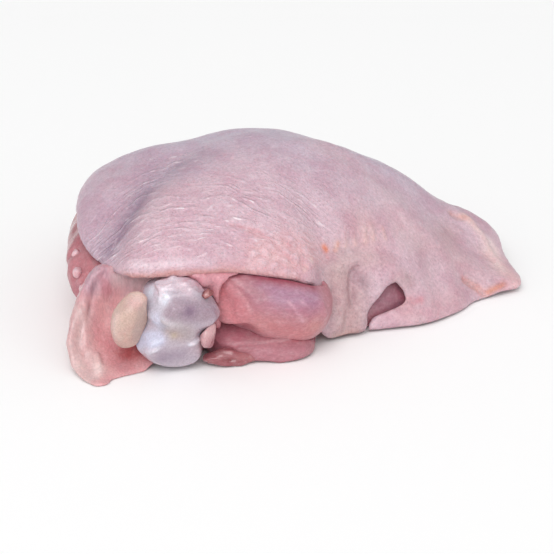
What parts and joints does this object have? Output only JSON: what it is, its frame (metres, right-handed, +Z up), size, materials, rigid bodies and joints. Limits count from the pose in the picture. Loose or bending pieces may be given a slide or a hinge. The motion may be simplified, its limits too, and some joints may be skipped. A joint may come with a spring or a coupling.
{
  "type": "raw chicken thigh",
  "caption": "Raw bone-in poultry thigh lying skin side up: domed skin with a loose tail, knuckle of the bone showing at the cut knee end with muscles and fat round it.",
  "frame": {"origin": "on the board, under the middle of the part's outline seen from above", "axes": "+Z up from the board, the knee end with the bone's knuckle faces -Y, the hip end +Y, the kneecap side is at -X and the loose tail of skin at +X"},
  "size_m": [0.1112, 0.0988, 0.0394],
  "materials": {
    "skin": "wet sheen over fine wrinkles",
    "dark_meat": "wet, fine grain",
    "cartilage": "smooth, glossy",
    "pad_fat": "smooth, satin",
    "pink_muscle": "wet, smooth",
    "membrane": "thin, wet, see-through at its rim",
    "torn_meat": "wet, ragged",
    "tendon": "satin",
    "soft_fat": "satin"
  },
  "bodies": {
    "root": {"skin": "skin", "thigh_meat": "dark_meat", "femur": "cartilage", "kneecap_pad": "pad_fat", "knee_muscle": "pink_muscle", "membrane": "membrane", "upper_muscle": "pink_muscle", "lower_muscle": "pink_muscle", "torn_strip": "torn_meat", "ligament_stub": "membrane", "tendon_end": "tendon", "edge_fat_1": "soft_fat", "edge_fat_2": "soft_fat", "edge_fat_3": "soft_fat"}
  },
  "joints": []
}
